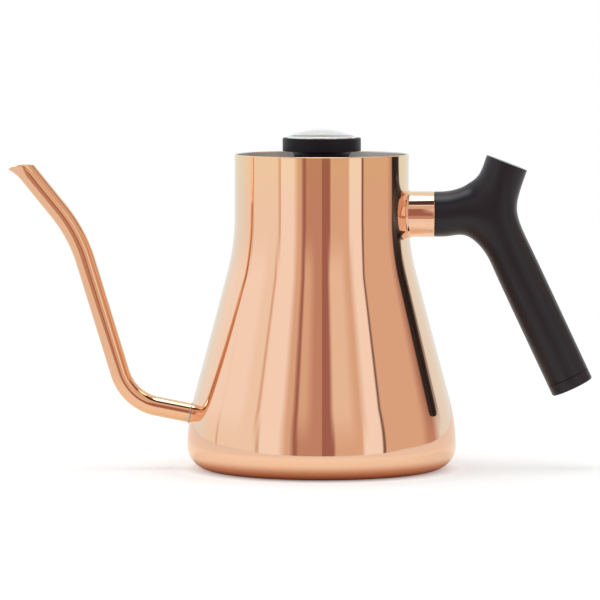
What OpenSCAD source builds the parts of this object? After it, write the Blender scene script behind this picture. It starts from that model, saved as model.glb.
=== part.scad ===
// Stovetop gooseneck kettle with a lid thermometer.
// Origin: centre of the base, on the surface it stands on. +Z is up, the spout points to -X
// and the grip to +X. Every measure is in millimetres.

/* [Flask] */
// Height of the rim
rim_z = 158; // [157:0.5:160]
// Outer radius of the straight neck
neck_r = 43.6; // [43:0.1:44.4]
// Thickness of the drawn sheet
wall = 1; // [0.8:0.1:1.2]
// Slope of the cone, in degrees from the vertical
cone_angle = 14.9; // [14.4:0.1:15.4]
// Height at which the neck starts to widen
shoulder_z = 127.4; // [126:0.2:129]
// Radius of the hollow blend from neck to cone
shoulder_blend = 112; // [100:1:124]
// Radius of the full blend from cone to foot
belly_blend = 100; // [90:1:110]
// Widest radius, just above the rolled foot
foot_r = 67.5; // [67.2:0.1:67.8]
// Radius of the rolled foot
foot_blend = 11.8; // [11:0.1:12.4]

/* [Base] */
// Outer radius of the steel cap that stands on the hob
base_r = 54.7; // [53:0.1:55.2]
// Thickness of the cap
base_sheet = 0.6; // [0.5:0.1:0.8]
// Thickness of the heat-spreading core
core_h = 3.6; // [3:0.1:4]
// Thickness of the water floor
floor_h = 0.8; // [0.6:0.1:1]

/* [Spout] */
// Outer radius of the tube
spout_r = 4.9; // [4.6:0.05:5]
// Thickness of the tube
spout_wall = 0.7; // [0.5:0.05:0.8]
// Point of the tube's axis inside the flask, x
spout_root_x = -60; // [-61:0.5:-58]
// Point of the tube's axis inside the flask, z
spout_root_z = 26.8; // [26.5:0.1:27.2]
// Corner of the lower bend, x
spout_low_x = -96.8; // [-98:0.2:-96]
// Corner of the lower bend, z
spout_low_z = 34.1; // [33.5:0.1:34.5]
// Centreline radius of the lower bend
spout_low_bend = 24; // [22:0.5:25]
// Corner of the upper bend, x
spout_high_x = -122.4; // [-124:0.2:-121]
// Corner of the upper bend, z
spout_high_z = 118.2; // [117:0.2:119]
// Centreline radius of the upper bend
spout_high_bend = 75; // [70:1:80]
// End of the tube's axis, x
spout_tip_x = -151.6; // [-152:0.1:-151]
// End of the tube's axis, z
spout_tip_z = 154.4; // [154:0.1:155]
// Outer radius of the trumpet lip
lip_r = 6.7; // [6.2:0.1:7]
// Length of the trumpet
lip_len = 7.5; // [6:0.5:9]
// Height of the level cut across the mouth
mouth_z = 152.4; // [152:0.1:153]

/* [Handle] */
// Height of the sleeve's axis
arm_z = 127.9; // [127:0.1:128.5]
// Outer radius of the polished sleeve
sleeve_r = 11.4; // [11.3:0.05:11.6]
// Where the sleeve ends and the grip begins, x
sleeve_x = 56.2; // [55.5:0.1:57]
// Radius of the grip's arm
arm_r = 11.3; // [11:0.1:11.4]
// Where the lower grip's axis meets the arm's, x
elbow_x = 85; // [84.5:0.1:85.5]
// Tilt of the lower grip from the vertical
grip_tilt = 25.2; // [24.5:0.1:26]
// Radius of the lower grip
grip_r = 10.9; // [10.8:0.05:11.2]
// Length of the lower grip with its end cap
grip_len = 96; // [94:0.5:97]
// Length of the end cap
cap_h = 5.7; // [5:0.1:6.5]
// Where the upper stub's axis meets the arm's, x
stub_x = 82.8; // [82:0.1:83.5]
// Tilt of the stub from the vertical
stub_tilt = 21; // [20:0.5:22]
// Radius of the stub
stub_r = 10.8; // [10.6:0.1:11]
// Length of the stub
stub_len = 27.6; // [26:0.2:28]

/* [Lid] */
// Height of the seat the lid rests on
seat_z = 148; // [147:0.5:149]
// Radius of the hole in the seat
throat_r = 39; // [38.8:0.1:39.5]
// Radius of the lid plate
lid_r = 42.1; // [41.6:0.1:42.2]
// Radius of the knob
knob_r = 19.6; // [19.3:0.1:20]
// Radius of the knob's neck
knob_neck_r = 13.7; // [13:0.1:14.5]
// Height of the knob's top face
knob_top_z = 166.1; // [165.8:0.1:166.5]
// Height of the knob's underside
knob_under_z = 159.4; // [159:0.1:159.6]

/* [Thermometer] */
// Radius of the bezel
bezel_r = 17.4; // [17.2:0.05:17.45]
// Height of the crown of the crystal
crystal_top_z = 170.5; // [170.3:0.1:171]
// Outer radius of the crystal's dome, as a sphere
dome_r = 39.7; // [38:0.1:42]
// Height of the probe's tip
probe_tip_z = 45; // [40:1:60]
// Radius of the probe
probe_r = 2; // [1.8:0.1:2.2]

/* [Hidden] */
$fn = 96;

copper = "#d9906e";
steel = "#c3c6ca";
alloy = "#b9bcc0";
black = "#1e1d20";
brass = "#c9a24a";
tiny = 0.05;                         // running gap between the lid and what it rests on

// Outline of the flask: hollow shoulder arc, straight cone, full belly arc, rolled foot
foot_lift = 0.2;                     // the rolled foot clears the hob, the cap stands on it
cone_start = [neck_r + shoulder_blend * (1 - cos(cone_angle)),
              shoulder_z - shoulder_blend * sin(cone_angle)];
cone_normal = [cos(cone_angle), sin(cone_angle)];
cone_down = [sin(cone_angle), -cos(cone_angle)];
foot_centre = [foot_r - foot_blend, foot_lift + foot_blend];
belly_across = belly_blend + cone_normal * (foot_centre - cone_start);
belly_along = sqrt(pow(belly_blend - foot_blend, 2) - pow(belly_across, 2));
belly_centre = foot_centre - cone_normal * belly_across - cone_down * belly_along;
belly_end = atan2(foot_centre.y - belly_centre.y, foot_centre.x - belly_centre.x);

// Levels of the base stack
core_z = base_sheet;
floor_z = core_z + core_h;

// Directions of the spout's three legs, and its corners, in the XZ plane
spout_path = [[spout_root_x, spout_root_z], [spout_low_x, spout_low_z],
              [spout_high_x, spout_high_z], [spout_tip_x, spout_tip_z]];
spout_bend_r = [spout_low_bend, spout_high_bend];
spout_bore_r = spout_r - spout_wall;
bend_lap = 0.3;
bend_ease = 0.02;

// Handle fixings
weld_h = 0.9;                        // how far a weld bead stands off the wall
spigot_r = 8;                        // boss spigot in the grip's socket
spigot_end_x = 62;
boss_flange_r = 10.2;
boss_step_x = 47;
sleeve_lip = 1;
screw_r = 3;
screw_tip_x = 49;
screw_seat_x = 84;
screw_head_r = 5;
screw_head_h = 6;
washer_h = 1.6;
screw_hole_r = 3.3;
counterbore_r = 5.5;
pin_r = 1.5;
pin_offset = 5.5;
weight_r = 7;
weight_len = 56;
weight_start = 28;                   // distance down the lower grip from the elbow
cap_plug_h = 5;

// Lid stack, from the seat up
gasket_h = 1;
plate_h = 1;
gasket_z = seat_z + tiny;
plate_z = gasket_z + gasket_h;
knob_z = plate_z + plate_h;
liner_z = seat_z - 7;
liner_r = 36.9;
liner_wall = 2;
vent_r = 1.6;
vent_ring_r = 29;

// Thermometer stack
sleeve_thread_r = 4;
sleeve_hole_r = 4.1;
case_r = 16.9;
case_wall = 0.6;
case_z = knob_under_z + 0.8;
case_h = 5.2;
dial_z = case_z + 3.6;
dial_h = 0.4;
pointer_z = dial_z + dial_h + 0.35;
pointer_h = 0.35;
shaft_r = 0.4;
bush_bore_r = 0.45;
probe_wall = 0.5;
nut_h = 4.5;
nut_flats = 13;
stem_washer_h = 0.8;
dome_centre_z = crystal_top_z - dome_r;
crystal_t = 1;
crystal_edge_r = 16.1;               // where the bezel's lip meets the dome

function arc(centre, r, from, to, steps) =
    [for (i = [0:steps]) centre + r * [cos(from + (to - from) * i / steps),
                                       sin(from + (to - from) * i / steps)]];
function flip(points) = [for (i = [len(points) - 1:-1:0]) points[i]];

// Outline of the flask from rim to foot, moved inwards by inset
function flask_outline(inset) =
    concat([[neck_r - inset, rim_z]],
           arc([neck_r + shoulder_blend, shoulder_z], shoulder_blend + inset,
               180, 180 + cone_angle, 12),
           arc(belly_centre, belly_blend - inset, cone_angle, belly_end, 6),
           arc(foot_centre, foot_blend - inset, belly_end - 9, -90, 10));

function unit(angle) = [cos(angle), sin(angle)];
function heading(a, b) = atan2(b.y - a.y, b.x - a.x);
function dome_height(r, sphere_r) = dome_centre_z + sqrt(pow(sphere_r, 2) - pow(r, 2));

// The whole flask as one solid block, for cutting what is welded on to its outside
module flask_block(inset = 0) {
    rotate_extrude()
        polygon(concat([[0, rim_z]], flask_outline(inset), [[0, foot_lift + inset]]));
}

// A ring or disc of revolution from its half section
module turned(points) {
    rotate_extrude() polygon(points);
}

// Places its children with their +Z along the arm, the lower grip or the stub
module along_arm(x = 0) translate([x, 0, arm_z]) rotate([0, 90, 0]) children();
module along_grip(s = 0)
    translate([elbow_x, 0, arm_z]) rotate([0, 180 - grip_tilt, 0]) translate([0, 0, s]) children();
module along_stub(s = 0)
    translate([stub_x, 0, arm_z]) rotate([0, stub_tilt, 0]) translate([0, 0, s]) children();

// Places its children with their +Z along the spout's leg i, starting s along it
module along_spout(i, s = 0)
    translate([spout_path[i].x, 0, spout_path[i].y])
        rotate([0, 90 - heading(spout_path[i], spout_path[i + 1]), 0])
            translate([0, 0, s]) children();

function leg_length(i) = norm(spout_path[i + 1] - spout_path[i]);
function turn(i) = heading(spout_path[i + 1], spout_path[i + 2]) -
                   heading(spout_path[i], spout_path[i + 1]);
// Length of a leg that the bend at its far or near corner takes up
function tangent(i) = spout_bend_r[i] * tan(abs(turn(i)) / 2);

// One round bend of the spout, as a length of torus, at corner i + 1
module spout_bend(i, r) {
    from = heading(spout_path[i], spout_path[i + 1]);
    side = turn(i) > 0 ? 1 : -1;
    start = spout_path[i + 1] - tangent(i) * unit(from);
    centre = start + spout_bend_r[i] * unit(from + 90 * side);
    first = side > 0 ? from - 90 : from + turn(i) + 90;
    rotate([90, 0, 0])
        translate([centre.x, centre.y, 0])
            rotate([0, 0, first])
                rotate_extrude(angle = abs(turn(i)))
                    translate([spout_bend_r[i], 0]) circle(r = r);
}

// The spout as a solid rod of radius r, with the trumpet at its end. The legs reach a little
// way into the bends, which are a hair slimmer, so that each joint has one clear edge.
module spout_rod(r, past = 0) {
    flare = lip_r - spout_r;
    last = leg_length(2) - tangent(1) + bend_lap;
    along_spout(0) cylinder(r = r, h = leg_length(0) - tangent(0) + bend_lap);
    spout_bend(0, r - bend_ease);
    along_spout(1, tangent(0) - bend_lap)
        cylinder(r = r, h = leg_length(1) - tangent(0) - tangent(1) + 2 * bend_lap);
    spout_bend(1, r - bend_ease);
    along_spout(2, tangent(1) - bend_lap)
        turned(concat([[0, 0], [r, 0]],
                      [for (i = [0:6]) [r + flare * pow(i / 6, 2), last - lip_len * (1 - i / 6)]],
                      [[r + flare, last + past], [0, last + past]]));
}

// Drawn shell with its rolled foot and the spout's inlet hole
module body_shell() {
    color(copper)
        difference() {
            turned(concat(flask_outline(0),
                          [[base_r, foot_lift], [base_r, foot_lift + wall]],
                          flip(flask_outline(wall))));
            along_spout(0) cylinder(r = spout_bore_r, h = leg_length(0) / 2);
        }
}

// Floor of the water space, trimmed to the inside of the shell
module floor_disc() {
    color(steel)
        intersection() {
            translate([0, 0, floor_z]) cylinder(r = foot_r, h = floor_h);
            flask_block(wall);
        }
}

module base_core() {
    color(alloy)
        translate([0, 0, core_z]) cylinder(r = base_r - base_sheet, h = core_h);
}

module base_cap() {
    edge = 0.4;
    color(steel)
        turned([[0, 0], [base_r - edge, 0], [base_r, edge], [base_r, floor_z],
                [base_r - base_sheet, floor_z], [base_r - base_sheet, base_sheet],
                [0, base_sheet]]);
}

// Angle ring inside the neck; the lid's gasket rests on its flange
module seat_ring() {
    outer = neck_r - wall;
    sheet = 0.8;
    flange_h = 8;
    color(steel)
        turned([[throat_r, seat_z - sheet], [outer - sheet, seat_z - sheet],
                [outer - sheet, seat_z - flange_h], [outer, seat_z - flange_h],
                [outer, seat_z], [throat_r, seat_z]]);
}

module spout_tube() {
    color(copper)
        difference() {
            spout_rod(spout_r);
            spout_rod(spout_bore_r, past = 1);
            flask_block();
            translate([spout_tip_x - 20, -20, mouth_z]) cube(40);
        }
}

// Bead round the tube's root
module spout_weld() {
    color(steel)
        difference() {
            intersection() {
                along_spout(0) cylinder(r = spout_r + weld_h, h = leg_length(0) / 2);
                flask_block(-weld_h);
            }
            along_spout(0) cylinder(r = spout_r, h = leg_length(0) / 2);
            flask_block();
        }
}

// Welded boss with a flange against the neck and a tapped spigot in the grip
module handle_boss() {
    inner = neck_r - 6;
    color(steel)
        difference() {
            union() {
                along_arm(inner) cylinder(r = boss_flange_r, h = boss_step_x - inner);
                along_arm(inner) cylinder(r = spigot_r, h = spigot_end_x - inner);
            }
            flask_block();
            along_arm(screw_tip_x - 1) cylinder(r = screw_r, h = spigot_end_x);
            pin_hole();
        }
}

module pin_hole() {
    translate([0, 0, -pin_offset]) along_arm(spigot_end_x - 4) cylinder(r = pin_r, h = 8);
}

// Bead round the sleeve's root
module handle_weld() {
    inner = neck_r - 6;
    color(copper)
        difference() {
            intersection() {
                along_arm(inner) cylinder(r = sleeve_r + weld_h, h = 12);
                flask_block(-weld_h);
            }
            along_arm(inner) cylinder(r = sleeve_r, h = 12);
            flask_block();
        }
}

// Polished sleeve over the boss
module handle_sleeve() {
    inner = neck_r - 6;
    color(copper)
        difference() {
            along_arm(inner) cylinder(r = sleeve_r, h = sleeve_x - inner);
            along_arm(inner) cylinder(r = boss_flange_r, h = sleeve_x - inner - sleeve_lip);
            along_arm(inner) cylinder(r = spigot_r, h = sleeve_x);
            flask_block();
        }
}

// Straight blend between two limbs of the grip
module web() {
    hull() {
        children(0);
        children(1);
    }
}

module ball(r) sphere(r = r, $fn = 28);

// Moulded grip: arm, stub and lower grip from one elbow, with its fixing bores
module handle_grip() {
    color(black)
        difference() {
            union() {
                along_arm(sleeve_x) cylinder(r = arm_r, h = elbow_x - sleeve_x);
                along_grip() cylinder(r = grip_r, h = grip_len - cap_h);
                along_stub() cylinder(r = stub_r, h = stub_len);
                web() { along_arm(70) ball(arm_r - 0.1); along_stub(14) ball(stub_r - 0.1); }
                web() { along_arm(73) ball(arm_r - 0.1); along_grip(13) ball(grip_r - 0.1); }
                web() { along_stub(13) ball(stub_r - 0.1); along_grip(9) ball(grip_r - 0.1); }
            }
            along_arm(sleeve_x - 1) cylinder(r = spigot_r + tiny, h = spigot_end_x - sleeve_x + 1.2);
            along_arm(sleeve_x) cylinder(r = screw_hole_r, h = elbow_x - sleeve_x);
            along_arm(screw_seat_x - washer_h) cylinder(r = counterbore_r, h = 30);
            pin_hole();
            along_grip(weight_start) cylinder(r = weight_r, h = grip_len);
        }
}

// Socket-head screw with a hexagon socket
module handle_screw() {
    hex_r = 5 / sqrt(3);
    color(steel)
        difference() {
            union() {
                along_arm(screw_tip_x) cylinder(r = screw_r, h = screw_seat_x - screw_tip_x);
                along_arm(screw_seat_x) cylinder(r = screw_head_r, h = screw_head_h);
            }
            along_arm(screw_seat_x + screw_head_h - 3) cylinder(r = hex_r, h = 4, $fn = 6);
        }
}

// Split spring washer under the screw's head
module lock_washer() {
    color(steel)
        difference() {
            along_arm(screw_seat_x - washer_h) cylinder(r = screw_head_r, h = washer_h);
            along_arm(screw_seat_x - washer_h - 1) cylinder(r = screw_r, h = washer_h + 2);
            translate([screw_seat_x - washer_h - 1, -0.4, arm_z]) cube([washer_h + 2, 0.8, 8]);
        }
}

module anti_turn_pin() {
    color(steel) pin_hole();
}

// Rod that balances the grip in the hand
module counterweight() {
    color(steel) along_grip(weight_start) cylinder(r = weight_r, h = weight_len);
}

module grip_end_cap() {
    edge = 0.7;
    plug_r = weight_r - 0.2;
    color(black)
        along_grip(grip_len - cap_h)
            turned([[0, -cap_plug_h], [plug_r, -cap_plug_h], [plug_r, 0], [grip_r, 0],
                    [grip_r, cap_h - edge], [grip_r - edge, cap_h], [0, cap_h]]);
}

// Steam vents through the lid
module vents(z, h) {
    for (a = [60:120:300])
        rotate([0, 0, a]) translate([vent_ring_r, 0, z]) cylinder(r = vent_r, h = h, $fn = 32);
}

module lid_plate() {
    rim_h = 1.4;
    rim_w = 0.8;
    color(steel)
        difference() {
            turned([[sleeve_hole_r, plate_z], [lid_r, plate_z], [lid_r, knob_z + rim_h],
                    [lid_r - rim_w, knob_z + rim_h], [lid_r - rim_w, knob_z],
                    [sleeve_hole_r, knob_z]]);
            vents(plate_z - 1, plate_h + 2);
        }
}

// Hollow moulding under the plate that keeps the knob cool
module lid_liner() {
    hub_r = 8;
    color(black)
        difference() {
            turned([[sleeve_hole_r, liner_z], [liner_r - 1, liner_z], [liner_r, liner_z + 1],
                    [liner_r, plate_z], [liner_r - liner_wall, plate_z],
                    [liner_r - liner_wall, liner_z + liner_wall],
                    [hub_r, liner_z + liner_wall], [hub_r, plate_z], [sleeve_hole_r, plate_z]]);
            vents(liner_z - 1, liner_wall + 2);
        }
}

// Flanged gasket with two sealing lips
module lid_gasket() {
    root = liner_r + 0.9;
    tip = throat_r - 0.4;
    low = seat_z - 5;
    color("#3a3a3c")
        turned([[liner_r, low], [root, low], [tip, low + 0.7], [root, low + 1.4],
                [root, low + 2.4], [tip, low + 3.1], [root, low + 3.8], [root, gasket_z],
                [lid_r, gasket_z], [lid_r, plate_z], [liner_r, plate_z]]);
}

// Knob with a waisted neck and a recess for the thermometer
module knob() {
    edge = 0.5;
    sweep_r = 2.8;
    color(black)
        turned(concat([[sleeve_hole_r, knob_z], [knob_neck_r + 1, knob_z],
                       [knob_neck_r, knob_z + 1.5]],
                      arc([knob_neck_r + sweep_r, knob_under_z - sweep_r], sweep_r, 180, 90, 6),
                      [[knob_r - edge, knob_under_z], [knob_r, knob_under_z + edge],
                       [knob_r, knob_top_z - edge], [knob_r - edge, knob_top_z],
                       [bezel_r + 0.1, knob_top_z], [bezel_r + 0.1, case_z],
                       [sleeve_hole_r, case_z]]));
}

// Cup of the thermometer with the threaded sleeve that clamps the knob to the lid
module thermo_case() {
    low = liner_z - stem_washer_h - nut_h - 1.5;
    color(steel)
        turned([[probe_r, low], [sleeve_thread_r, low], [sleeve_thread_r, case_z],
                [case_r, case_z], [case_r, case_z + case_h],
                [case_r - case_wall, case_z + case_h], [case_r - case_wall, case_z + 0.8],
                [probe_r, case_z + 0.8]]);
}

// Ring rolled over the edge of the crystal
module thermo_bezel() {
    lip_z = dome_height(crystal_edge_r, dome_r);
    low = case_z + 2.2;
    color(steel)
        turned([[case_r, low], [bezel_r, low], [bezel_r, knob_top_z + 0.2],
                [bezel_r - 0.3, knob_top_z + 0.5], [crystal_edge_r, lip_z],
                [crystal_edge_r, lip_z - 0.4], [case_r, lip_z - 0.8]]);
}

// Domed crystal
module thermo_crystal() {
    edge_z = case_z + case_h;
    lip_z = dome_height(crystal_edge_r, dome_r);
    inner_r = case_r - case_wall - 1;
    color("#e8eef0", 0.5)
        turned(concat([for (i = [0:10]) let (r = crystal_edge_r * i / 10)
                           [r, dome_height(r, dome_r)]],
                      [[crystal_edge_r, lip_z - 0.4], [case_r, lip_z - 0.8], [case_r, edge_z],
                       [inner_r, edge_z]],
                      [for (i = [10:-1:0]) let (r = inner_r * i / 10)
                           [r, dome_height(r, dome_r) - crystal_t]]));
}

module thermo_dial() {
    color("white")
        translate([0, 0, dial_z])
            difference() {
                cylinder(r = case_r - case_wall, h = dial_h);
                translate([0, 0, -1]) cylinder(r = 1, h = dial_h + 2);
            }
}

// Flat pointer; it lies towards -Y at its cold end
module pointer() {
    tip = 12.5;
    tail = 4.5;
    color("#b3261e")
        translate([0, 0, pointer_z])
            difference() {
                union() {
                    cylinder(r = 1.7, h = pointer_h);
                    linear_extrude(pointer_h)
                        polygon([[-0.8, tail], [0.8, tail], [0.15, -tip], [-0.15, -tip]]);
                }
                translate([0, 0, -1]) cylinder(r = shaft_r, h = pointer_h + 2);
            }
}

module pointer_shaft() {
    low = probe_tip_z + 4;
    color(steel)
        translate([0, 0, low]) cylinder(r = shaft_r, h = pointer_z + pointer_h - low);
}

module shaft_bush() {
    bush_h = 5;
    color(brass)
        translate([0, 0, case_z - bush_h])
            difference() {
                cylinder(r = probe_r - probe_wall, h = bush_h);
                translate([0, 0, -1]) cylinder(r = bush_bore_r, h = bush_h + 2);
            }
}

// Strip wound into a helix, fixed to the probe at its lower end
module bimetal_coil() {
    turns = 6;
    steps = 14;
    low = probe_tip_z + 8;
    pitch = 3;
    inner = 0.85;
    outer = 1.35;
    strip = 1.4;
    rings = turns * steps;
    section = [[inner, 0], [outer, 0], [outer, strip], [inner, strip]];
    points = [for (k = [0:rings]) for (c = section)
        let (a = 360 * k / steps)
        [c.x * cos(a), c.x * sin(a), low + pitch * k / steps + c.y]];
    sides = [for (k = [0:rings - 1]) for (j = [0:3])
        let (a = 4 * k + j, b = 4 * k + (j + 1) % 4)
        each [[a, b, b + 4], [a, b + 4, a + 4]]];
    ends = [[3, 2, 1], [3, 1, 0], [for (j = [0:2]) 4 * rings + j],
            [4 * rings, 4 * rings + 2, 4 * rings + 3]];
    color(alloy) polyhedron(points, concat(sides, ends));
}

// Closed tube that carries the coil down into the water
module probe_stem() {
    top = case_z + 0.8;
    bore = probe_r - probe_wall;
    color(steel)
        turned(concat([[0, probe_tip_z]],
                      arc([0, probe_tip_z + probe_r], probe_r, -60, 0, 4),
                      [[probe_r, top], [bore, top], [bore, probe_tip_z + probe_r],
                       [0, probe_tip_z + probe_r]]));
}

module stem_nut() {
    color(steel)
        translate([0, 0, liner_z - stem_washer_h - nut_h])
            difference() {
                cylinder(r = nut_flats / sqrt(3), h = nut_h, $fn = 6);
                translate([0, 0, -1]) cylinder(r = sleeve_thread_r, h = nut_h + 2);
            }
}

module stem_washer() {
    color("#3a3a3c")
        translate([0, 0, liner_z - stem_washer_h])
            difference() {
                cylinder(r = 8, h = stem_washer_h);
                translate([0, 0, -1]) cylinder(r = sleeve_thread_r, h = stem_washer_h + 2);
            }
}

body_shell();
floor_disc();
base_core();
base_cap();
seat_ring();
spout_tube();
spout_weld();
handle_boss();
handle_weld();
handle_sleeve();
handle_grip();
handle_screw();
lock_washer();
anti_turn_pin();
counterweight();
grip_end_cap();
lid_plate();
lid_liner();
lid_gasket();
knob();
thermo_case();
thermo_bezel();
thermo_crystal();
thermo_dial();
pointer();
pointer_shaft();
shaft_bush();
bimetal_coil();
probe_stem();
stem_nut();
stem_washer();
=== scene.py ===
"""Gooseneck kettle: polished copper-coloured flask and spout, black grip, thermometer lid."""

from math import acos, atan2, cos, degrees, hypot, pi, radians, sin, sqrt, tan

import bmesh
import bpy
from mathutils import Matrix, Vector


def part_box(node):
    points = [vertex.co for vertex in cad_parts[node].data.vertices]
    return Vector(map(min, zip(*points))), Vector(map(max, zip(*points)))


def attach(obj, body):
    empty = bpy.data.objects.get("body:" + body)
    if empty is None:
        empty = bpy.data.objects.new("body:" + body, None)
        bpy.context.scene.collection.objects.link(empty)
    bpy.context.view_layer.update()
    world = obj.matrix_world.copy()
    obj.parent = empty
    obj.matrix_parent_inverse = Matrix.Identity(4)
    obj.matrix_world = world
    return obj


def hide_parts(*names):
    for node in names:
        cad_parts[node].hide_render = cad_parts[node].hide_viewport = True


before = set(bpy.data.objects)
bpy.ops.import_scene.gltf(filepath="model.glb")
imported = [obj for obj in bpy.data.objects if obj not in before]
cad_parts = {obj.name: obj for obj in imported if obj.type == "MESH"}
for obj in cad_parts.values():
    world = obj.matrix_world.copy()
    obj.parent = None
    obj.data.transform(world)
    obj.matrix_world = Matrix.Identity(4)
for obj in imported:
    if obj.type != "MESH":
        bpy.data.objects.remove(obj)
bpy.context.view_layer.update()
MM = 0.001


# ---------------------------------------------------------------------------------------------
# Shader maths
# ---------------------------------------------------------------------------------------------
class Value:
    """A number socket that can be used in a Python expression."""

    def __init__(self, tree, socket):
        self.tree = tree
        self.socket = socket

    def math(self, operation, *others):
        node = self.tree.nodes.new("ShaderNodeMath")
        node.operation = operation
        for slot, other in zip(node.inputs, (self, *others)):
            if isinstance(other, Value):
                self.tree.links.new(other.socket, slot)
            else:
                slot.default_value = other
        return Value(self.tree, node.outputs[0])

    def flipped(self, operation, other):
        """The same operation with this value as its second number."""
        result = self.math(operation, self)
        node = result.socket.node
        self.tree.links.remove(node.inputs[0].links[0])
        node.inputs[0].default_value = other
        return result

    def __add__(self, other):
        return self.math("ADD", other)

    __radd__ = __add__

    def __mul__(self, other):
        return self.math("MULTIPLY", other)

    __rmul__ = __mul__

    def __sub__(self, other):
        return self.math("SUBTRACT", other)

    def __rsub__(self, other):
        return self.flipped("SUBTRACT", other)

    def __truediv__(self, other):
        return self.math("DIVIDE", other)

    def __rtruediv__(self, other):
        return self.flipped("DIVIDE", other)

    def step(self, start, end):
        """0 below start, 1 above end, and a smooth ramp between."""
        node = self.tree.nodes.new("ShaderNodeMapRange")
        node.interpolation_type = "SMOOTHSTEP"
        self.tree.links.new(self.socket, node.inputs["Value"])
        node.inputs["From Min"].default_value = start
        node.inputs["From Max"].default_value = end
        return Value(self.tree, node.outputs["Result"])

    def between(self, start, end, soft):
        """1 from start to end, fading to 0 over soft on each side."""
        return self.step(start - soft, start + soft) * (1 - self.step(end - soft, end + soft))


class Nodes:
    """A node tree that takes a node's type, its settings and its inputs in one call."""

    def __init__(self, tree):
        self.tree = tree

    def add(self, kind, settings=None, output=0, **inputs):
        node = self.tree.nodes.new("ShaderNode" + kind)
        for key, setting in (settings or {}).items():
            if key == "stops":
                self.set_stops(node.color_ramp, setting)
            else:
                setattr(node, key, setting)
        for key, value in inputs.items():
            self.put(node, key.replace("_", " "), value)
        return Value(self.tree, node.outputs[output])

    @staticmethod
    def set_stops(ramp, stops):
        while len(ramp.elements) < len(stops):
            ramp.elements.new(1.0)
        for element, (place, colour) in zip(ramp.elements, stops):
            element.position = place
            element.color = (*colour, 1.0)

    def put(self, node, name, value):
        slot = next(s for s in node.inputs if s.name == name and s.enabled)
        if isinstance(value, Value):
            self.tree.links.new(value.socket, slot)
        elif isinstance(value, tuple) and len(value) == 3 and slot.type == "RGBA":
            slot.default_value = (*value, 1.0)
        else:
            slot.default_value = value

    def mix(self, factor, first, second):
        """First colour where factor is 0, second where it is 1."""
        return self.add("Mix", {"data_type": "RGBA"}, output=2, Factor=factor, A=first, B=second)

    def split(self, vector):
        node = self.tree.nodes.new("ShaderNodeSeparateXYZ")
        self.tree.links.new(vector.socket, node.inputs[0])
        return [Value(self.tree, socket) for socket in node.outputs]


class Finish(Nodes):
    """A material: its Principled shader's fixed settings, and the nodes behind what varies."""

    def __init__(self, name, **fixed):
        self.material = bpy.data.materials.new(name)
        self.material.use_nodes = True
        super().__init__(self.material.node_tree)
        self.shader = self.tree.nodes["Principled BSDF"]
        self.set(**fixed)

    def set(self, **values):
        for key, value in values.items():
            self.put(self.shader, key.replace("_", " "), value)

    def noise(self, scale, detail=3.0, stretch=(1, 1, 1), rough=0.5):
        """Cloudy pattern fixed to the piece, stretched along its axes."""
        here = self.add("Mapping", Vector=self.add("TexCoord", output=3), Scale=stretch)
        return self.add("TexNoise", Vector=here, Scale=scale, Detail=detail, Roughness=rough)

    def bump(self, height, strength, depth):
        self.set(Normal=self.add("Bump", Height=height, Strength=strength, Distance=depth))


def around(finish):
    """Angle in turns, distance from the kettle's axis in metres, and height, at each point."""
    x, y, z = finish.split(finish.add("TexCoord", output=3))
    radius = (x * x + y * y).math("SQRT")
    turn = y.math("ARCTAN2", x) / (2 * pi)
    return turn, radius, z


# ---------------------------------------------------------------------------------------------
# Finishes
# ---------------------------------------------------------------------------------------------
def polished_copper(name, tone, rim_painted_reflection):
    """Mirror-polished plating with the faintest polishing haze, turning more golden towards the rim as
    a painted reflection.
    """
    finish = Finish(name, Metallic=1.0)
    height = around(finish)[2]
    drift = finish.noise(9.0, detail=2.0)
    haze = finish.noise(60.0, detail=4.0)
    swirl = finish.noise(900.0, detail=2.0, stretch=(1, 1, 0.08))
    paler = tuple(part + 0.015 for part in tone)
    plating = finish.mix(drift, tone, paler)
    # Painted reflection: the base colour turns golden towards the rim.
    finish.set(Base_Color=finish.mix(height.step(0.128, 0.158), plating, rim_painted_reflection),
               Roughness=haze * 0.02 + swirl * 0.012 + 0.022)
    return finish.material


def brushed_steel(name, tone, rough=0.26, grain=0.05):
    """Steel brushed in rings round the kettle's axis."""
    finish = Finish(name, Metallic=1.0)
    turn, radius, z = around(finish)
    ring = finish.add("CombineXYZ", X=radius * 2600, Y=turn * 9, Z=z * 2600)
    lines = finish.add("TexNoise", Vector=ring, Scale=1.0, Detail=4.0, Roughness=0.7)
    cloud = finish.noise(45.0)
    bright = tuple(min(1.0, part * 1.06) for part in tone)
    finish.set(Base_Color=finish.mix(lines, tone, bright),
               Roughness=lines * 0.14 + cloud * 0.06 + (rough - 0.1))
    finish.bump(lines, grain, 0.00004)
    return finish.material


def bright_steel():
    finish = Finish("bright steel", Metallic=1.0)
    haze = finish.noise(140.0, detail=3.0)
    finish.set(Base_Color=finish.mix(haze, (0.78, 0.79, 0.81), (0.84, 0.85, 0.86)),
               Roughness=haze * 0.06 + 0.07)
    return finish.material


def machined(name, tone, rough):
    """Small turned and drawn hardware."""
    finish = Finish(name, Metallic=1.0)
    marks = finish.noise(1400.0, detail=3.0, stretch=(0.25, 1, 1))
    dark = tuple(part * 0.86 for part in tone)
    finish.set(Base_Color=finish.mix(marks, dark, tone), Roughness=marks * 0.15 + (rough - 0.07))
    finish.bump(marks, 0.06, 0.00003)
    return finish.material


def moulded_black(name, tone, rough, grain=0.22, sheen=0.25):
    """Matt moulding: fine spark texture, slight tone drift, a little even sheen."""
    finish = Finish(name, Specular_IOR_Level=sheen)
    spark = finish.noise(3200.0, detail=2.0, rough=0.6)
    drift = finish.noise(34.0, detail=3.0)
    paler = tuple(part * 1.28 + 0.002 for part in tone)
    finish.set(Base_Color=finish.mix(drift, tone, paler),
               Roughness=drift * 0.07 + spark * 0.08 + (rough - 0.07))
    finish.bump(spark, grain, 0.00006)
    return finish.material


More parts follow.
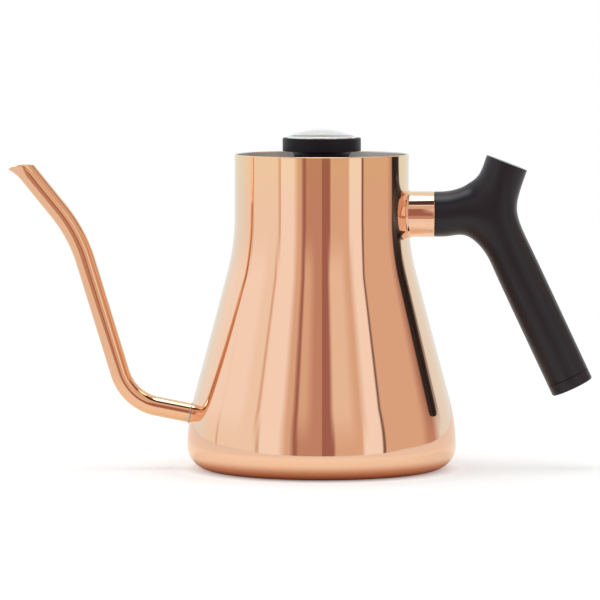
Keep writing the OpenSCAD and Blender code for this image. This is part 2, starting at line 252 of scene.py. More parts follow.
def silicone():
    finish = Finish("silicone", Specular_IOR_Level=0.35)
    dust = finish.noise(420.0, detail=4.0)
    finish.set(Base_Color=finish.mix(dust, (0.045, 0.045, 0.048), (0.075, 0.075, 0.08)),
               Roughness=dust * 0.12 + 0.58)
    return finish.material


def crystal_glass():
    """Clear moulding, drawn as a thin grey-white film so that the dial shows through it; the
    grey-white is a painted reflection on the glass.
    """
    finish = Finish("crystal", Roughness=0.03, IOR=1.49)
    film = finish.noise(70.0, detail=2.0)
    finish.set(Base_Color=finish.mix(film, (0.64, 0.65, 0.64), (0.68, 0.69, 0.68)),
               Roughness=film * 0.03 + 0.02, Alpha=film * 0.03 + 0.2)
    return finish.material


def dial_enamel():
    finish = Finish("dial enamel", Specular_IOR_Level=0.4)
    speck = finish.noise(260.0, detail=3.0)
    finish.set(Base_Color=finish.mix(speck, (0.80, 0.80, 0.78), (0.86, 0.86, 0.84)),
               Roughness=speck * 0.1 + 0.35)
    return finish.material


def painted(name, tone):
    finish = Finish(name)
    speck = finish.noise(500.0, detail=3.0)
    dark = tuple(part * 0.8 for part in tone)
    finish.set(Base_Color=finish.mix(speck, dark, tone), Roughness=speck * 0.1 + 0.35)
    return finish.material


# Both coppers turn more golden towards the rim: a painted reflection.
COPPER = polished_copper("polished copper", (0.900, 0.598, 0.438), (0.905, 0.625, 0.410))
# The tube's copper is a darker copy of the same plating: a painted reflection, standing in for the
# darker reflections along the tube.
TUBE_COPPER_PAINTED_DARKER = polished_copper("polished copper, tube, painted darker", (0.870, 0.540, 0.350), (0.875, 0.550, 0.365))
INNER_STEEL = brushed_steel("brushed steel, inside", (0.60, 0.60, 0.61), rough=0.3)
LID_STEEL = brushed_steel("brushed steel, lid", (0.70, 0.70, 0.71), rough=0.24)
BASE_STEEL = brushed_steel("brushed steel, base", (0.64, 0.64, 0.65), rough=0.34, grain=0.09)
BRIGHT_STEEL = bright_steel()
COLLAR_STEEL = machined("ground weld", (0.50, 0.46, 0.43), 0.2)
HARDWARE = machined("hardware steel", (0.62, 0.62, 0.63), 0.32)
ALUMINIUM = machined("rolled aluminium", (0.78, 0.78, 0.80), 0.38)
BRASS = machined("turned brass", (0.80, 0.60, 0.28), 0.28)
BIMETAL = machined("bimetal strip", (0.60, 0.57, 0.52), 0.3)
GRIP_BLACK = moulded_black("grip, matt black", (0.0080, 0.0068, 0.0115), 0.31, sheen=0.36)
KNOB_BLACK = moulded_black("knob, matt black", (0.0070, 0.0058, 0.0100), 0.40, sheen=0.18)
LINER_BLACK = moulded_black("liner, satin black", (0.020, 0.020, 0.022), 0.36, grain=0.1)
SILICONE = silicone()
CRYSTAL = crystal_glass()
DIAL_ENAMEL = dial_enamel()
DIAL_INK = painted("dial ink", (0.02, 0.02, 0.022))
POINTER_RED = painted("pointer red", (0.55, 0.03, 0.02))


# ---------------------------------------------------------------------------------------------
# Outlines and mesh building
# ---------------------------------------------------------------------------------------------
def arc(centre, radius, start, end, steps):
    """Points on an arc, angles in degrees."""
    angles = [radians(start + (end - start) * i / steps) for i in range(steps + 1)]
    return [(centre[0] + radius * cos(a), centre[1] + radius * sin(a)) for a in angles]


def rounded(corners, closed=False, steps=5):
    """Outline from corners (r, z, fillet radius): each corner with a radius becomes an arc."""
    count = len(corners)
    points = []
    for i, corner in enumerate(corners):
        here = Vector(corner[:2])
        radius = corner[2] if len(corner) > 2 else 0
        if not radius or (not closed and i in (0, count - 1)):
            points.append(tuple(here))
            continue
        back = (Vector(corners[i - 1][:2]) - here).normalized()
        ahead = (Vector(corners[(i + 1) % count][:2]) - here).normalized()
        half = acos(max(-1.0, min(1.0, back.dot(ahead)))) / 2
        reach = radius / tan(half)
        centre = here + (back + ahead).normalized() * radius / sin(half)
        first = here + back * reach - centre
        last = here + ahead * reach - centre
        start = atan2(first.y, first.x)
        swing = (atan2(last.y, last.x) - start + pi) % (2 * pi) - pi
        points += arc(centre, radius, degrees(start), degrees(start + swing), steps)
    return points


def as_object(name, bm, materials, sharp=35.0):
    """Mesh object from a bmesh, smooth shaded but for edges sharper than the angle given."""
    mesh = bpy.data.meshes.new(name)
    bm.to_mesh(mesh)
    bm.free()
    for material in materials:
        mesh.materials.append(material)
    mesh.polygons.foreach_set("use_smooth", [True] * len(mesh.polygons))
    mesh.set_sharp_from_angle(angle=radians(sharp))
    piece = bpy.data.objects.new(name, mesh)
    bpy.context.scene.collection.objects.link(piece)
    return piece


def tidy(bm):
    """Joins points that coincide and turns every face outward."""
    bmesh.ops.remove_doubles(bm, verts=bm.verts, dist=1e-7)
    bmesh.ops.recalc_face_normals(bm, faces=bm.faces)


def turned(bm, outline, closed=True, steps=128):
    """Spins an outline of (r, z) in millimetres about Z into a closed skin."""
    verts = [bm.verts.new((r * MM, 0, z * MM)) for r, z in outline]
    pairs = list(zip(verts, verts[1:] + verts[:1])) if closed else list(zip(verts, verts[1:]))
    edges = [bm.edges.new(pair) for pair in pairs]
    bmesh.ops.spin(bm, geom=verts + edges, cent=(0, 0, 0), axis=(0, 0, 1), dvec=(0, 0, 0),
                   angle=2 * pi, steps=steps, use_merge=True, use_normal_flip=False,
                   use_duplicate=False)
    tidy(bm)


def turned_piece(name, outline, material, closed=True, steps=128, where=None):
    """A turned skin as an object of its own, moved to where it belongs."""
    bm = bmesh.new()
    turned(bm, outline, closed, steps)
    if where is not None:
        bmesh.ops.transform(bm, matrix=where, verts=bm.verts)
    return as_object(name, bm, [material])


def along(start, heading):
    """Matrix that stands +Z along a heading in the XZ plane, degrees from +X towards +Z."""
    return Matrix.Translation(Vector((start[0] * MM, 0, start[1] * MM))) @ \
        Matrix.Rotation(radians(90 - heading), 4, "Y")


def fit(piece, body, node):
    """The piece rides on a body and stands in for a node, whose CAD part is hidden."""
    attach(piece, body)
    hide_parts(node)


# ---------------------------------------------------------------------------------------------
# Flask
# ---------------------------------------------------------------------------------------------
RIM_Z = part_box("body_shell")[1].z / MM
FOOT_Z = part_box("body_shell")[0].z / MM
FOOT_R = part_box("body_shell")[1].x / MM
NECK_R = 43.6
RIM_FLARE = 0.08
FLARE_H = 7.0
WALL = 1.0
CONE_ANGLE = 14.9
SHOULDER_Z = 127.4
SHOULDER_BLEND = 112.0
BELLY_BLEND = 100.0
FOOT_BLEND = 11.8
BASE_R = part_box("base_cap")[1].x / MM
LIP_MIDDLE = NECK_R - WALL / 2 + RIM_FLARE


def flare(z):
    """How far the neck opens towards the rim."""
    return RIM_FLARE * max(0.0, 1 - (RIM_Z - z) / FLARE_H) ** 2


def flask_outline(inset):
    """Neck, hollow shoulder, cone, full belly and rolled foot, from the rim down."""
    slope = radians(CONE_ANGLE)
    normal = Vector((cos(slope), sin(slope)))
    down = Vector((sin(slope), -cos(slope)))
    cone_start = Vector((NECK_R + SHOULDER_BLEND * (1 - cos(slope)),
                         SHOULDER_Z - SHOULDER_BLEND * sin(slope)))
    foot = Vector((FOOT_R - FOOT_BLEND, FOOT_Z + FOOT_BLEND))
    across = BELLY_BLEND + normal.dot(foot - cone_start)
    belly = foot - normal * across - down * sqrt((BELLY_BLEND - FOOT_BLEND) ** 2 - across ** 2)
    belly_end = degrees(atan2(foot.y - belly.y, foot.x - belly.x))
    shoulder = (NECK_R + SHOULDER_BLEND, SHOULDER_Z)
    flared = [RIM_Z - 0.5 - i * FLARE_H / 6 for i in range(7)]
    neck = [(NECK_R - inset + flare(z), z) for z in flared]
    neck += [(NECK_R - inset, RIM_Z - 8 - i * (RIM_Z - 8 - SHOULDER_Z) / 5) for i in range(5)]
    return (neck + arc(shoulder, SHOULDER_BLEND + inset, 180, 180 + CONE_ANGLE, 24)
            + arc(belly, BELLY_BLEND - inset, CONE_ANGLE, belly_end, 14)
            + arc(foot, FOOT_BLEND - inset, belly_end - 4, -90, 20))


def make_flask():
    """Drawn shell: plated outside and up over the rim, brushed steel inside, spout's inlet cut."""
    lip = arc((LIP_MIDDLE, RIM_Z - WALL / 2), WALL / 2, 180, 0, 8)
    outline = (lip + flask_outline(0)
               + [(BASE_R + 0.25, FOOT_Z), (BASE_R, FOOT_Z + 0.25), (BASE_R, FOOT_Z + WALL)]
               + flask_outline(WALL)[::-1])
    bm = bmesh.new()
    turned(bm, outline, steps=256)
    for face in bm.faces:
        centre = face.calc_center_median()
        outward = face.normal.dot(Vector((centre.x, centre.y, 0)).normalized()) > -0.2
        inner_wall = not outward or (face.normal.z > 0.9 and centre.z < 3 * MM)
        if centre.z > (RIM_Z - WALL) * MM:
            inner_wall = hypot(centre.x, centre.y) < LIP_MIDDLE * MM
        face.material_index = 1 if inner_wall else 0
    shell = as_object("flask_shell", bm, [COPPER, INNER_STEEL], sharp=40)
    drill = turned_piece("drill", [(0, 0), (SPOUT_BORE, 0), (SPOUT_BORE, 14), (0, 14)], COPPER,
                         closed=False, steps=48, where=along(SPOUT_ROOT, SPOUT_HEADING[0]))
    cut(shell, drill)
    fit(shell, "kettle", "body_shell")


def cut(piece, tool):
    """Takes the tool's solid out of the piece, then throws the tool away."""
    knife = piece.modifiers.new("cut", "BOOLEAN")
    knife.operation = "DIFFERENCE"
    knife.solver = "EXACT"
    knife.object = tool
    bpy.context.view_layer.update()
    result = bpy.data.meshes.new_from_object(
        piece.evaluated_get(bpy.context.evaluated_depsgraph_get()))
    piece.modifiers.clear()
    old = piece.data
    piece.data = result
    bpy.data.meshes.remove(old)
    bpy.data.objects.remove(tool)


def make_base_cap():
    """Steel cup under the flask with a faint turned groove near its edge."""
    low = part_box("base_cap")[0].z / MM
    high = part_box("base_cap")[1].z / MM
    groove = BASE_R - 4.0
    outline = rounded([(0, low), (groove - 0.8, low), (groove - 0.4, low + 0.25, 0.2),
                       (groove + 0.4, low + 0.25, 0.2), (groove + 0.8, low),
                       (BASE_R, low, 0.4), (BASE_R, high, 0.1), (BASE_R - 0.6, high, 0.1),
                       (BASE_R - 0.6, low + 0.6), (0, low + 0.6)])
    cap = turned_piece("base_cup", outline, BASE_STEEL, closed=False, steps=160)
    fit(cap, "kettle", "base_cap")


# ---------------------------------------------------------------------------------------------
# Spout
# ---------------------------------------------------------------------------------------------
SPOUT_R = 4.9
SPOUT_WALL = 0.7
SPOUT_BORE = SPOUT_R - SPOUT_WALL
SPOUT_ROOT = (-60.0, 26.8)
SPOUT_CORNERS = [Vector(SPOUT_ROOT), Vector((-96.8, 34.1)), Vector((-122.4, 118.2)),
                 Vector((-151.6, 154.4))]
SPOUT_BENDS = [24.0, 75.0]
LIP_R = 6.7
TRUMPET = 8.5
# Straight tube, drawn in one with the trumpet
MOUTH_LEAD = 4.5
MOUTH_Z = 152.4
SPOUT_HEADING = [degrees(atan2(b.y - a.y, b.x - a.x))
                 for a, b in zip(SPOUT_CORNERS, SPOUT_CORNERS[1:])]


class Tube:
    """A round tube drawn ring by ring in the XZ plane."""

    def __init__(self, bm, start, heading, radius, segments=48):
        self.bm = bm
        self.here = Vector(start)
        self.heading = heading
        self.rings = []
        made = bmesh.ops.create_circle(bm, cap_ends=False, segments=segments,
                                       radius=radius * MM, matrix=along(start, heading))
        self.ring = made["verts"]
        self.keep()

    def keep(self):
        self.edges = [e for e in {e for v in self.ring for e in v.link_edges}
                      if all(v in self.ring for v in e.verts)]
        self.rings.append(list(self.ring))

    def run(self, length, steps=1):
        """Straight on for a length."""
        way = Vector((cos(radians(self.heading)), sin(radians(self.heading))))
        for _ in range(steps):
            move = way * length / steps
            made = bmesh.ops.extrude_edge_only(self.bm, edges=self.edges)["geom"]
            self.ring = [g for g in made if isinstance(g, bmesh.types.BMVert)]
            bmesh.ops.translate(self.bm, vec=Vector((move.x, 0, move.y)) * MM, verts=self.ring)
            self.here += move
            self.keep()

    def bend(self, radius, turn, steps):
        """Round bend to the left (turn above 0) or right, by turn degrees."""
        side = 1 if turn > 0 else -1
        across = radians(self.heading + 90 * side)
        centre = self.here + Vector((cos(across), sin(across))) * radius
        each = Matrix.Rotation(radians(-turn / steps), 3, "Y")
        for _ in range(steps):
            made = bmesh.ops.extrude_edge_only(self.bm, edges=self.edges)["geom"]
            self.ring = [g for g in made if isinstance(g, bmesh.types.BMVert)]
            bmesh.ops.rotate(self.bm, cent=Vector((centre.x, 0, centre.y)) * MM, matrix=each,
                             verts=self.ring)
            self.keep()
        spoke = self.here - centre
        self.here = centre + Matrix.Rotation(radians(turn), 2) @ spoke
        self.heading += turn


def draw_spout(bm, radius, lip_radius):
    """One skin of the spout, root to lip."""
    tube = Tube(bm, SPOUT_ROOT, SPOUT_HEADING[0], radius)
    used = 0.0
    for i, bend_r in enumerate(SPOUT_BENDS):
        turn = SPOUT_HEADING[i + 1] - SPOUT_HEADING[i]
        reach = bend_r * tan(radians(abs(turn)) / 2)
        length = (SPOUT_CORNERS[i + 1] - SPOUT_CORNERS[i]).length
        tube.run(length - used - reach, steps=4)
        tube.bend(bend_r, turn, steps=20)
        used = reach
    last = (SPOUT_CORNERS[3] - SPOUT_CORNERS[2]).length - used
    tube.run(last - TRUMPET - MOUTH_LEAD, steps=3)
    open_mouth(tube, TRUMPET + MOUTH_LEAD, radius, lip_radius)
    return tube


def open_mouth(tube, length, radius, lip_radius):
    """Flares the end of the tube and trims it level, so the rim rises to the front lip."""
    heading = radians(tube.heading)
    way = Vector((cos(heading), 0, sin(heading)))
    foot = Vector((tube.here.x, 0, tube.here.y)) * MM
    first = [v.co - foot for v in tube.ring]
    steps = 14
    softness = 0.9
    for k in range(1, steps + 1):
        tube.run(length / steps)
        for spoke, vert in zip(first, match(first, tube, way, foot)):
            to_cut = (MOUTH_Z - (foot.z + spoke.z) / MM) / way.z
            reach = soft_least(length, to_cut, softness)
            travel = reach * k / steps
            opening = max(0.0, (travel - length + TRUMPET) / TRUMPET) ** 2
            swell = 1 + opening * (lip_radius / radius - 1)
            vert.co = foot + spoke * swell + way * travel * MM


def match(spokes, tube, way, foot):
    """The ring's vertices in the order of the spokes."""
    free = list(tube.ring)
    found = []
    for spoke in spokes:
        best = min(free, key=lambda v: ((v.co - foot) - way * (v.co - foot).dot(way) - spoke).length)
        free.remove(best)
        found.append(best)
    return found


def soft_least(a, b, soft):
    """The lesser of two lengths, rounded off where they cross."""
    gap = max(soft - abs(a - b), 0.0) / soft
    return min(a, b) - gap * gap * soft / 4


def make_spout():
    bm = bmesh.new()
    outer = draw_spout(bm, SPOUT_R, LIP_R)
    inner = draw_spout(bm, SPOUT_BORE, LIP_R - SPOUT_WALL * 0.6)
    rims = []
    for end in (-1, 0):
        for tube in (outer, inner):
            ring = set(tube.rings[end])
            rims.append([e for v in ring for e in v.link_edges if set(e.verts) <= ring])
    for pair in (rims[:2], rims[2:]):
        bmesh.ops.bridge_loops(bm, edges=list({e for loop in pair for e in loop}))
    tidy(bm)
    lip_edges = [e for e in bm.edges if e.calc_face_angle(0.0) > radians(50)
                 and e.verts[0].co.z > 140 * MM]
    bmesh.ops.bevel(bm, geom=lip_edges, offset=0.16 * MM, affect="EDGES", segments=3,
                    profile=0.5, material=-1)
    for face in bm.faces:
        face.smooth = True
    spout = as_object("gooseneck_tube", bm, [TUBE_COPPER_PAINTED_DARKER])
    fit(spout, "kettle", "spout_tube")


def make_spout_collar():
    """Bright bead of weld round the tube where it leaves the flask."""
    wall_reach = 6.1
    start = SPOUT_R - 0.3
    outline = rounded([(start, wall_reach - 1.2), (SPOUT_R + 0.4, wall_reach - 1.2),
                       (SPOUT_R + 0.4, wall_reach, 0.25), (SPOUT_R + 0.15, wall_reach + 0.3, 0.1),
                       (start, wall_reach + 0.35)], closed=True)
    collar = turned_piece("spout_collar", outline, COLLAR_STEEL, steps=64,
                          where=along(SPOUT_ROOT, SPOUT_HEADING[0]))
    fit(collar, "kettle", "spout_weld")


# ---------------------------------------------------------------------------------------------
# Handle
# ---------------------------------------------------------------------------------------------
ARM_Z = 127.9
SLEEVE_R = 11.4
SLEEVE_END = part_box("handle_sleeve")[1].x / MM
ARM_R = 11.3
ELBOW_X = 85.0
GRIP_TILT = 25.2
GRIP_R = 10.9
GRIP_LEN = 96.0
CAP_H = 5.7
STUB_X = 82.8
STUB_TILT = 21.0
STUB_R = 10.8
STUB_LEN = 27.6
# Half the grip's thickness where its limbs meet
HEART_R = 11.3


def make_sleeve():
    """Polished sleeve, with a hairline step where the grip butts against it."""
    root = NECK_R - 2.0
    outline = rounded([(8.1, root), (SLEEVE_R, root), (SLEEVE_R, SLEEVE_END, 0.35), (8.1, SLEEVE_END)],
                      closed=True)
    sleeve = turned_piece("grip_sleeve", outline, COPPER, steps=128, where=along((0, ARM_Z), 0))
    fit(sleeve, "kettle", "handle_sleeve")


def make_sleeve_bead():
    """Polished bead that follows the neck's curve round the sleeve."""
    bm = bmesh.new()
    outline = rounded([(SLEEVE_R - 0.4, -1.6), (SLEEVE_R + 0.85, -1.6), (SLEEVE_R + 0.85, 0.0, 0.5),
                       (SLEEVE_R + 0.1, 0.85, 0.3), (SLEEVE_R - 0.4, 0.85)], closed=True)
    turned(bm, outline, steps=128)
    bmesh.ops.transform(bm, matrix=along((0, ARM_Z), 0), verts=bm.verts)
    for vert in bm.verts:
        vert.co.x += sqrt((NECK_R * MM) ** 2 - vert.co.y ** 2)
        drop = max(0.0, SHOULDER_Z * MM - vert.co.z)
        vert.co.x += drop ** 2 / (2 * SHOULDER_BLEND * MM)
    bead = as_object("sleeve_bead", bm, [COPPER])
    fit(bead, "kettle", "handle_weld")


class Limb:
    """One limb of the grip: a ring of eight cage vertices that walks along its axis."""

    def __init__(self, start, heading, radius):
        self.start = Vector((start[0], 0, start[1]))
        self.way = Vector((cos(radians(heading)), 0, sin(radians(heading))))
        self.side = Vector((-self.way.z, 0, self.way.x))
        self.radius = radius

    def point(self, k, distance, shift=0.0, width=1.0):
        angle = k * pi / 4
        spoke = self.side * cos(angle) * width + Vector((0, 1, 0)) * sin(angle)
        centre = self.start + self.way * distance + self.side * shift
        return (centre + spoke * self.radius * CAGE) * MM


# An eight-sided cage this much larger than a circle subdivides to that circle
CAGE = 3 / (2 + cos(pi / 4))


def make_grip():
    """Y-shaped grip: three round limbs that flow into one elbow."""
    arm = Limb((ELBOW_X, ARM_Z), 180, ARM_R)
    lower = Limb((ELBOW_X, ARM_Z), -90 + GRIP_TILT, GRIP_R)
    stub = Limb((STUB_X, ARM_Z), 90 - STUB_TILT, STUB_R)
    heart = Vector((88.0, 0, 127.7))
    # Crotches, each where two limbs part: arm and lower grip, lower grip and stub, stub and arm
    crotches = [Vector((75.8, 0, 113.3)), Vector((97.5, 0, 129.2)), Vector((72.1, 0, 145.2))]
    limbs = [arm, lower, stub]
    arm_len = ELBOW_X - SLEEVE_END
    lower_len = GRIP_LEN - CAP_H
    # Distances of each limb's rings from its start, the last ones close together for a crisp end
    reaches = [
        [14.2, 21.4, arm_len - 1.0, arm_len - 0.5, arm_len - 0.15],
        [17.9, 26.9, 50.0, 75.0, lower_len - 1.2, lower_len - 0.35, lower_len],
        [16.3, 25.5, STUB_LEN - 1.2, STUB_LEN - 0.4, STUB_LEN],
    ]
    # Each limb's first ring: its shift to the side, and its width against the limb's own
    springs = [(-1.96, 1.024), (0.13, 0.966), (-0.35, 0.988)]
    bm = bmesh.new()
    poles = [bm.verts.new((heart + Vector((0, y * HEART_R * CAGE, 0))) * MM) for y in (1, -1)]
    arcs = []
    for crotch in crotches:
        out = crotch - heart
        arcs.append([bm.verts.new((heart + out * cos(k * pi / 4) +
                                   Vector((0, HEART_R * CAGE * sin(k * pi / 4), 0))) * MM)
                     for k in (1, 0, -1)])
    for i, (limb, distances, spring) in enumerate(zip(limbs, reaches, springs)):
        # Going round from the +Y pole: the crotch on the limb's +side, the -Y pole, the other
        ring = [poles[0], *arcs[i], poles[1], *reversed(arcs[i - 1])]
        order = [2, 1, 0, -1, -2, -3, -4, -5]
        for distance in distances:
            shift, width = spring if distance == distances[0] else (0.0, 1.0)
            fresh = [bm.verts.new(limb.point(k, distance, shift, width)) for k in order]
            for j in range(8):
                n = (j + 1) % 8
                bm.faces.new((ring[j], ring[n], fresh[n], fresh[j]))
            ring = fresh
        close_end(bm, ring)
    tidy(bm)
    grip = as_object("grip_moulding", bm, [GRIP_BLACK])
    smooth = grip.modifiers.new("smooth", "SUBSURF")
    smooth.levels = 4
    smooth.render_levels = 4
    fit(grip, "kettle", "handle_grip")


def close_end(bm, ring):
    """Flat end: a held edge, then rings that step in to a small closing face."""
    face = bm.faces.new(ring)
    for step_in in (0.35, 2.5):
        bmesh.ops.inset_region(bm, faces=[face], thickness=step_in * MM, depth=0)


def make_end_cap():
    seam = GRIP_LEN - CAP_H
    gap = 0.12
    outline = rounded([(0, seam + gap), (GRIP_R, seam + gap, 0.25), (GRIP_R, GRIP_LEN, 0.8),
                       (0, GRIP_LEN)])
    cap = turned_piece("grip_cap", outline, GRIP_BLACK, closed=False, steps=128,
                       where=along((ELBOW_X, ARM_Z), -90 + GRIP_TILT))
    fit(cap, "kettle", "grip_end_cap")


# ---------------------------------------------------------------------------------------------
# Lid
# ---------------------------------------------------------------------------------------------
KNOB_R = 19.6
KNOB_NECK_R = 13.7
KNOB_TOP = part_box("knob")[1].z / MM
KNOB_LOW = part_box("knob")[0].z / MM
KNOB_UNDER = 159.4
BEZEL_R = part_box("thermo_bezel")[1].x / MM
DOME_R = 39.7
CROWN_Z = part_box("thermo_crystal")[1].z / MM
CRYSTAL_EDGE = 16.1
CASE_R = 16.9


def dome_z(r, drop=0.0):
    """Height of the crystal's dome at a radius, or of its underside, drop below."""
    sphere = DOME_R - drop
    return CROWN_Z - DOME_R + sqrt(sphere ** 2 - r ** 2)


def make_knob():
    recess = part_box("thermo_case")[1].z / MM - 5.2
    outline = rounded([(4.1, KNOB_LOW), (KNOB_NECK_R + 1.2, KNOB_LOW, 0.3),
                       (KNOB_NECK_R, KNOB_LOW + 1.8, 1.5), (KNOB_NECK_R, KNOB_UNDER, 2.7),
                       (KNOB_R, KNOB_UNDER, 0.45), (KNOB_R, KNOB_TOP, 0.5),
                       (BEZEL_R + 0.1, KNOB_TOP, 0.15), (BEZEL_R + 0.1, recess), (4.1, recess)],
                      closed=True, steps=8)
    knob = turned_piece("lid_knob", outline, KNOB_BLACK, steps=160)
    fit(knob, "lid", "knob")


def make_bezel():
    lip = dome_z(CRYSTAL_EDGE)
    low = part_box("thermo_bezel")[0].z / MM
    outline = rounded([(CASE_R, low), (BEZEL_R, low), (BEZEL_R, KNOB_TOP + 0.45, 0.35),
                       (CRYSTAL_EDGE + 0.1, lip + 0.02, 0.1), (CRYSTAL_EDGE, lip - 0.4),
                       (CASE_R, lip - 0.8)], closed=True)
    bezel = turned_piece("dial_bezel", outline, BRIGHT_STEEL, steps=160)
    fit(bezel, "lid", "thermo_bezel")


def make_crystal():
    inner = CASE_R - 1.6
    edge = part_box("thermo_crystal")[0].z / MM
    lip = dome_z(CRYSTAL_EDGE)
    over = [(CRYSTAL_EDGE * i / 20, dome_z(CRYSTAL_EDGE * i / 20)) for i in range(21)]
    under = [(inner * i / 20, dome_z(inner * i / 20, 1.0)) for i in range(20, -1, -1)]
    outline = over + [(CRYSTAL_EDGE, lip - 0.4), (CASE_R, lip - 0.8), (CASE_R, edge),
                      (inner, edge)] + under
    crystal = turned_piece("dial_crystal", outline, CRYSTAL, closed=False, steps=128)
    fit(crystal, "lid", "thermo_crystal")


def make_dial_marks():
    """Printed scale: short and long strokes over 270 degrees, and plain numbers."""
    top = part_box("thermo_dial")[1].z
    bm = bmesh.new()
    strokes = 50
    outer = 14.6 * MM
    for i in range(strokes + 1):
        turn = radians(-90 - 270 * i / strokes)
        long = i % 5 == 0
        length = (2.0 if long else 1.1) * MM
        width = (0.34 if long else 0.16) * MM
        place = (Matrix.Rotation(turn, 4, "Z") @ Matrix.Translation((outer - length / 2, 0, top))
                 @ Matrix.Diagonal((length, width, 0.00006, 1)))
        bmesh.ops.create_cube(bm, size=1.0, matrix=place)
    marks = as_object("dial_strokes", bm, [DIAL_INK])
    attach(marks, "lid")
    for i, number in enumerate(range(0, 101, 20)):
        turn = radians(-90 - 270 * i / 5)
        make_number(str(number), (cos(turn) * 10.4 * MM, sin(turn) * 10.4 * MM, top), 0.0034)


def make_number(text, place, size):
    curve = bpy.data.curves.new("digits", "FONT")
    curve.body = text
    curve.size = size
    curve.align_x = "CENTER"
    curve.align_y = "CENTER"
    curve.extrude = 0.00003
    draft = bpy.data.objects.new("digits", curve)
    bpy.context.scene.collection.objects.link(draft)
    bpy.context.view_layer.update()
    mesh = bpy.data.meshes.new_from_object(
        draft.evaluated_get(bpy.context.evaluated_depsgraph_get()))
    bpy.data.objects.remove(draft)
    mesh.transform(Matrix.Translation(place))
    mesh.materials.clear()
    mesh.materials.append(DIAL_INK)
    digits = bpy.data.objects.new("dial_number_" + text, mesh)
    bpy.context.scene.collection.objects.link(digits)
    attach(digits, "lid")


# ---------------------------------------------------------------------------------------------
# Pieces that keep their CAD shape
# ---------------------------------------------------------------------------------------------
CAD_FINISHES = {
    "floor_disc": INNER_STEEL, "base_core": ALUMINIUM, "seat_ring": INNER_STEEL,
    "handle_boss": HARDWARE, "handle_screw": HARDWARE, "lock_washer": HARDWARE,
    "anti_turn_pin": HARDWARE, "counterweight": HARDWARE, "lid_plate": LID_STEEL,
    "lid_liner": LINER_BLACK, "lid_gasket": SILICONE, "thermo_case": HARDWARE,
    "thermo_dial": DIAL_ENAMEL, "pointer": POINTER_RED, "pointer_shaft": HARDWARE,
    "shaft_bush": BRASS, "bimetal_coil": BIMETAL, "probe_stem": BRIGHT_STEEL,
    "stem_nut": HARDWARE, "stem_washer": SILICONE,
}


def finish_cad_nodes():
    for name, material in CAD_FINISHES.items():
        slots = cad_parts[name].data.materials
        slots.clear()
        slots.append(material)


# ---------------------------------------------------------------------------------------------
# Studio
# ---------------------------------------------------------------------------------------------
# Tones of the boards and gaps that stand round the kettle
COOL_WHITE = (0.86, 0.95, 0.94)
WHITE = (1.0, 0.99, 0.97)
CREAM = (0.94, 0.90, 0.83)
SAND = (0.88, 0.75, 0.64)
TAN = (0.76, 0.57, 0.44)
BROWN = (0.58, 0.35, 0.27)
DEEP_BROWN = (0.38, 0.18, 0.15)
DARK = (0.22, 0.14, 0.12)
# Each board's edges, in degrees from the front with the right positive, and its tone
LEVEL_BOARDS = [
    (-180, -125, COOL_WHITE), (-119, -105, CREAM), (-103, -102, TAN), (-101, -60, CREAM),
    (-58, -56, TAN), (-55, -38, WHITE), (-31, -28, TAN), (-24, -22, DEEP_BROWN),
    (-20, -8, BROWN), (0, 10, DEEP_BROWN), (12, 35, TAN), (37, 53, WHITE), (54, 56, DARK),
    (57, 96, TAN), (105, 113, BROWN), (124, 180, COOL_WHITE),
]
HIGH_BOARDS = [
    (-180, -150, COOL_WHITE), (-137, -80, WHITE), (-72, -63, CREAM), (-61.5, -60, TAN),
    (-58, -38, WHITE), (-32, -28, TAN), (-24.5, -23, DEEP_BROWN), (-21, -16, TAN),
    (-8, 0, BROWN), (3, 7, DEEP_BROWN), (11, 24, SAND), (32, 35, TAN), (42, 52.5, WHITE),
    (54, 55, DARK), (56.5, 98, TAN), (110, 112, DEEP_BROWN), (118, 123, BROWN),
    (124, 126.5, DARK), (128, 180, COOL_WHITE),
]
CEILING = (1.0, 1.0, 1.0)
CEILING_GAP = (0.09, 0.05, 0.05)
# Where the mirrored table ends, in metres along Y
TABLE_EDGE = -0.33


def board_tones(nodes, azimuth, boards, low, high):
    """The tones of the boards between two azimuths, each blending into the next across its gap."""
    inside = [(max(start, low), min(end, high), tone) for start, end, tone in boards
              if end > low and start < high]
    stops = [((edge - low) / (high - low), tone) for start, end, tone in inside
             for edge in (start, end)]
    return nodes.add("ValToRGB", {"stops": stops}, Fac=(azimuth - low) / (high - low))


def all_round(nodes, azimuth, boards):
    """Both halves of a ring of boards."""
    right = azimuth.math("GREATER_THAN", 0)
    return nodes.mix(right, board_tones(nodes, azimuth, boards, -180, 0),
                     board_tones(nodes, azimuth, boards, 0, 180))


def make_surroundings():
    """White room; polished metal also mirrors two rings of boards and a pale ceiling."""
    world = bpy.data.worlds.new("studio")
    bpy.context.scene.world = world
    world.use_nodes = True
    nodes = Nodes(world.node_tree)
    x, y, z = nodes.split(nodes.add("TexCoord", output=0))
    azimuth = x.math("ARCTAN2", y * -1) * (180 / pi)
    height = z.math("ARCSINE") * (180 / pi)
    front = azimuth.between(-70, 70, 8)
    level = all_round(nodes, azimuth, LEVEL_BOARDS)
    raised = all_round(nodes, azimuth, HIGH_BOARDS)
    climb = height / ((azimuth * (pi / 360)).math("COSINE") * 25 + 1)
    # Under the boards, then over them: a brown ledge, a tan rail, its pale edge, a gap, the ceiling
    colour = nodes.mix(climb.step(0.0, 1.0), level, raised)
    colour = nodes.mix((1 - height.step(-8, -4)) * front, colour, BROWN)
    colour = nodes.mix(height.step(27, 31) * front, colour, TAN)
    colour = nodes.mix(height.step(43, 45), colour, CREAM)
    colour = nodes.mix(height.between(50, 79, 1) * front, colour, CEILING_GAP)
    colour = nodes.mix(height.step(77, 80), colour, CEILING)
    mirrored = nodes.add("LightPath", output=3)
    background = world.node_tree.nodes["Background"]
    nodes.put(background, "Color", nodes.mix(mirrored, (1.0, 1.0, 1.0), colour))
    nodes.put(background, "Strength", 1.0)


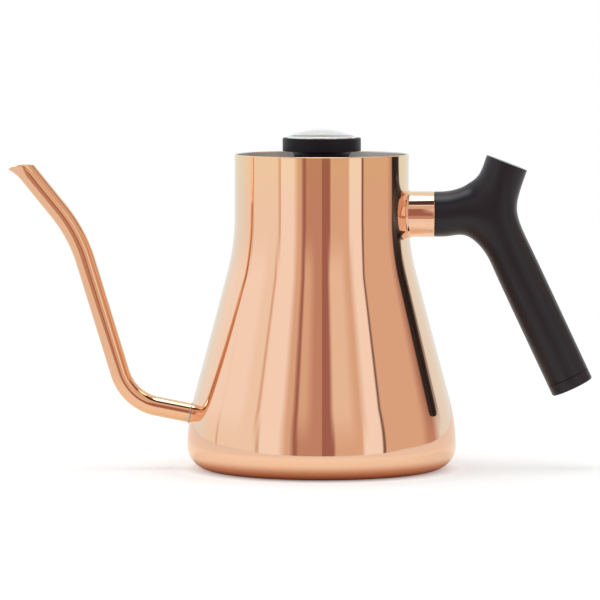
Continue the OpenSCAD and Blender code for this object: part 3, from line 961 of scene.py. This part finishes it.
def make_floor():
    """Pale table that glows as painted light, more strongly close to the foot to lighten its contact
    shadow. To reflections it is dimmer, with painted shade close to the foot and a warm painted glow
    farther out. Polished metal mirrors it only up to an edge in front of the kettle.
    """
    bm = bmesh.new()
    bmesh.ops.create_circle(bm, cap_ends=True, segments=96, radius=1.1)
    finish = Finish("floor", Roughness=0.9, Specular_IOR_Level=0.0)
    drift = finish.noise(3.0)
    radius = around(finish)[1]
    y = finish.split(finish.add("TexCoord", output=3))[1]
    beyond = 1 - y.step(TABLE_EDGE - 0.01, TABLE_EDGE + 0.01)
    mirrored = finish.add("LightPath", output=3)
    # Mask of painted shade on the floor close to the foot, in reflections only.
    shaded = (1 - radius.step(0.058, 0.076)) * mirrored
    pale = finish.mix(drift, (0.85, 0.86, 0.86), (0.87, 0.88, 0.88))
    # Painted glow seen directly: brighter close to the foot, lightening its contact shadow, faint
    # farther out.
    seen_painted_glow = finish.mix(radius.step(0.060, 0.078), (0.28, 0.28, 0.28), (0.06, 0.06, 0.06))
    # Painted glow in reflections: warm near the kettle, fading out farther away, and none in the
    # painted shade.
    mirrored_painted_glow = finish.mix(radius.step(0.07, 0.28), (0.17, 0.16, 0.10), (0.0, 0.0, 0.0))
    mirrored_painted_glow = finish.mix(shaded, mirrored_painted_glow, (0.0, 0.0, 0.0))
    # Floor tone in reflections: dimmer and warm, turning to dark copper-tinted painted shade close to
    # the foot.
    mirrored_tone_with_painted_shade = finish.mix(shaded, (0.76, 0.71, 0.66), (0.66, 0.31, 0.18))
    finish.set(Base_Color=finish.mix(mirrored, pale, mirrored_tone_with_painted_shade),
               Emission_Color=finish.mix(mirrored, seen_painted_glow, mirrored_painted_glow),
               Emission_Strength=1.0, Alpha=1 - beyond * mirrored)
    as_object("floor", bm, [finish.material])


def make_lights():
    lamp = bpy.data.lights.new("overhead", "AREA")
    lamp.shape = "DISK"
    lamp.size = 0.9
    lamp.energy = 5.0
    overhead = bpy.data.objects.new("overhead", lamp)
    overhead.location = (0, 0, 1.5)
    bpy.context.scene.collection.objects.link(overhead)


def make_camera():
    lens = bpy.data.cameras.new("camera")
    lens.sensor_width = 36.0
    lens.lens = 272.5
    camera = bpy.data.objects.new("camera", lens)
    camera.location = (-0.010864, -2.27, 0.249)
    camera.rotation_euler = (radians(90 - 4.138), 0, 0)
    bpy.context.scene.collection.objects.link(camera)
    bpy.context.scene.camera = camera


make_camera()
make_surroundings()
make_floor()
make_lights()
make_flask()
make_base_cap()
make_spout()
make_spout_collar()
make_sleeve()
make_sleeve_bead()
make_grip()
make_end_cap()
make_knob()
make_bezel()
make_crystal()
make_dial_marks()
finish_cad_nodes()
bpy.context.scene.view_settings.view_transform = "Standard"
